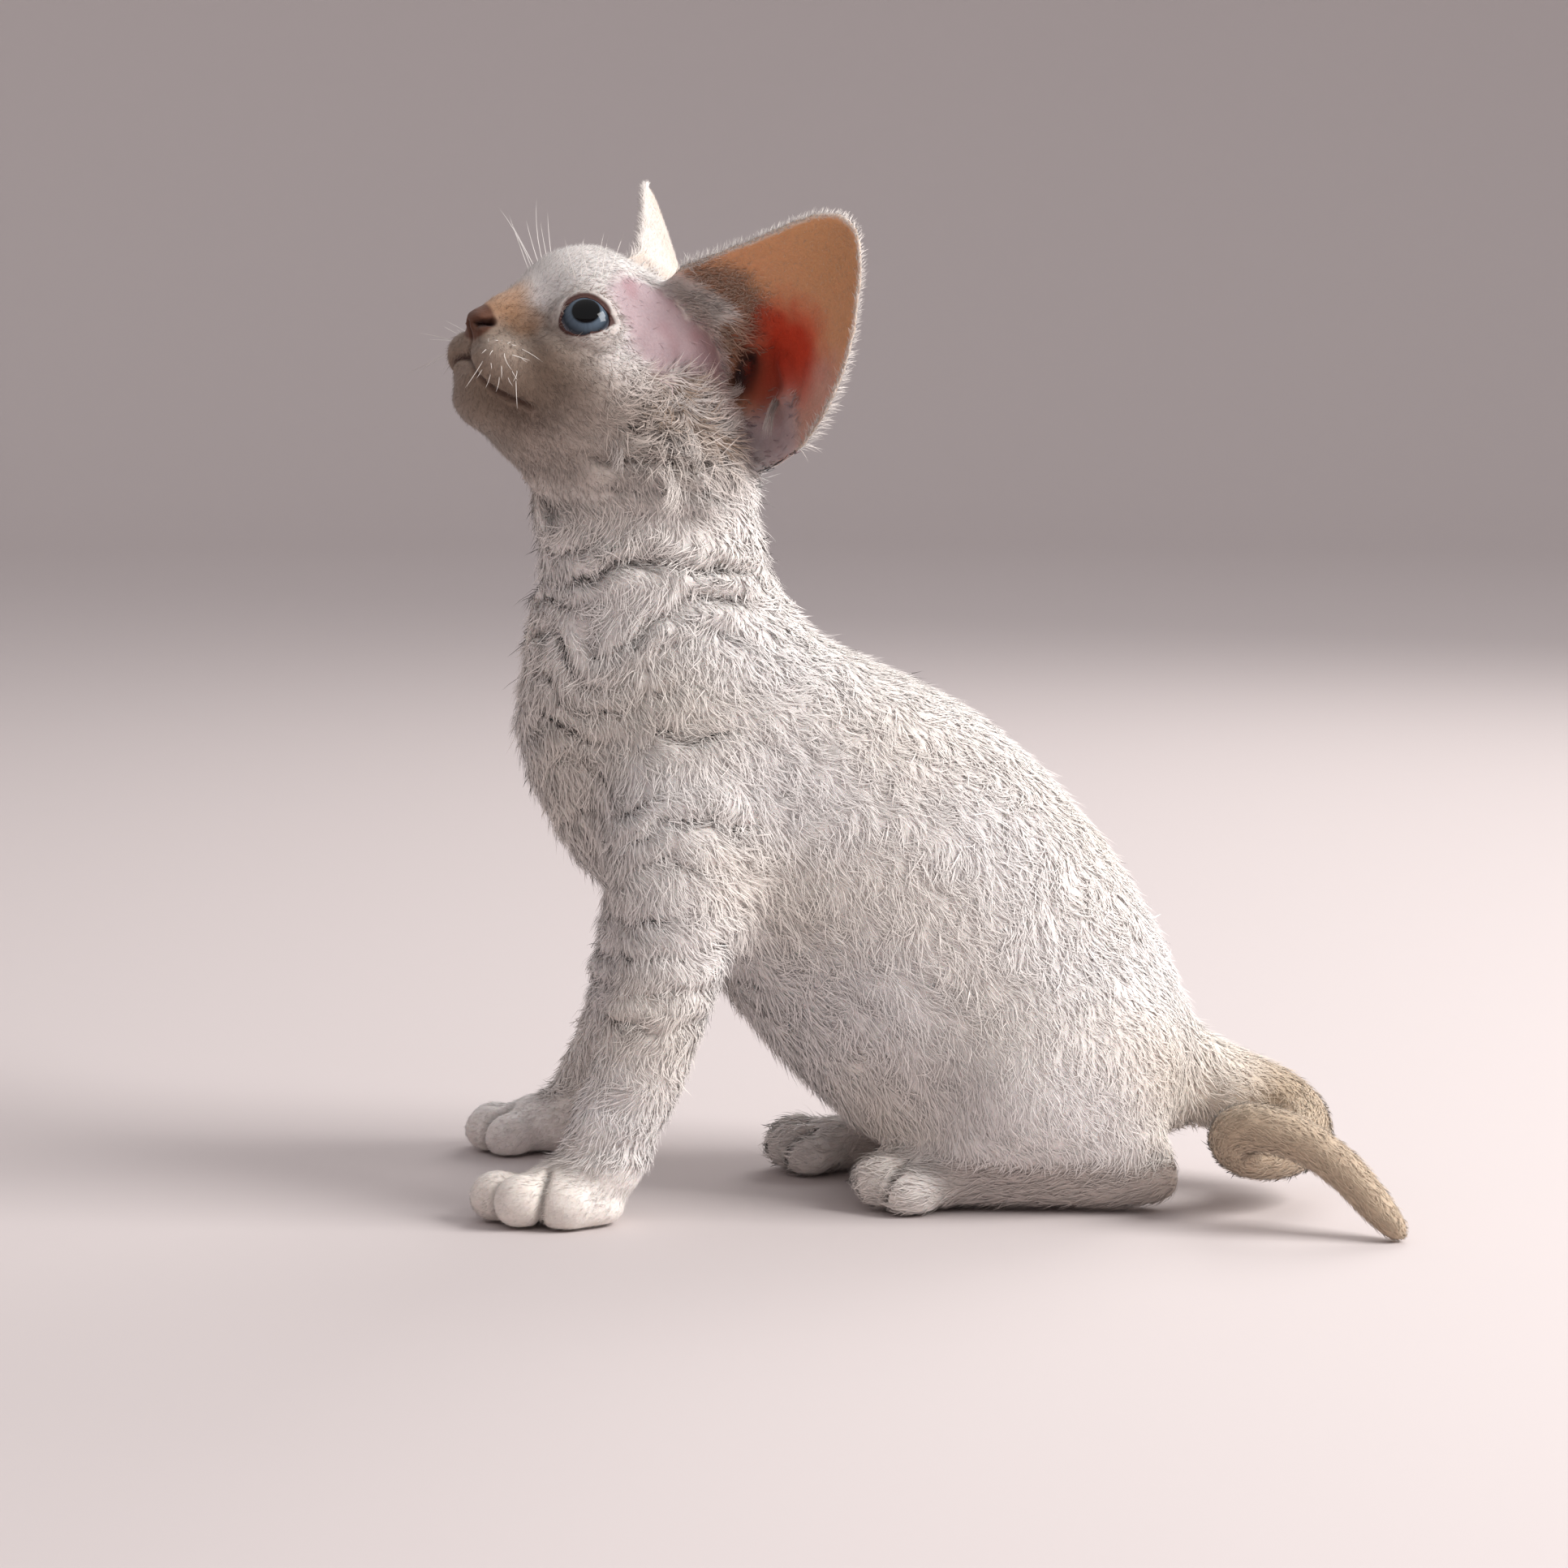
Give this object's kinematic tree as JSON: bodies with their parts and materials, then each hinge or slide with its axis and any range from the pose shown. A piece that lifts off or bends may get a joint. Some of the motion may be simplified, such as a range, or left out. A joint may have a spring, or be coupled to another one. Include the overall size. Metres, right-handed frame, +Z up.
{
  "type": "cat figure",
  "caption": "Life-size still model of a sitting Devon Rex kitten with large ears, raised head, wavy white coat and a curled tail.",
  "frame": {"origin": "bottom centre of the whole animal's box, on the floor it sits on", "axes": "+Z up; the body faces -X; the animal's left side is towards -Y; the head is turned towards -Y and raised"},
  "size_m": [0.2312, 0.1316, 0.2504],
  "materials": {
    "head": "short cream-white fur",
    "ear_left": "thin bare ear skin with sparse down",
    "ear_right": "thin bare ear skin with sparse down",
    "eye_left": "glossy, blue-grey iris",
    "eye_right": "glossy, blue-grey iris",
    "neck": "wavy white fur",
    "torso": "wavy white fur",
    "foreleg_left": "wavy white fur",
    "forepaw_left": "short white fur",
    "foreleg_right": "wavy white fur",
    "forepaw_right": "short white fur",
    "hindleg_left": "short white fur",
    "hindleg_right": "short white fur",
    "tail_base": "short cream fur",
    "tail_middle": "short cream fur",
    "tail_tip": "short cream fur"
  },
  "bodies": {
    "root": {"head": "head", "ear_left": "ear_left", "ear_right": "ear_right", "eye_left": "eye_left", "eye_right": "eye_right", "neck": "neck", "torso": "torso", "foreleg_left": "foreleg_left", "forepaw_left": "forepaw_left", "foreleg_right": "foreleg_right", "forepaw_right": "forepaw_right", "hindleg_left": "hindleg_left", "hindleg_right": "hindleg_right", "tail_base": "tail_base", "tail_middle": "tail_middle", "tail_tip": "tail_tip"}
  },
  "joints": []
}
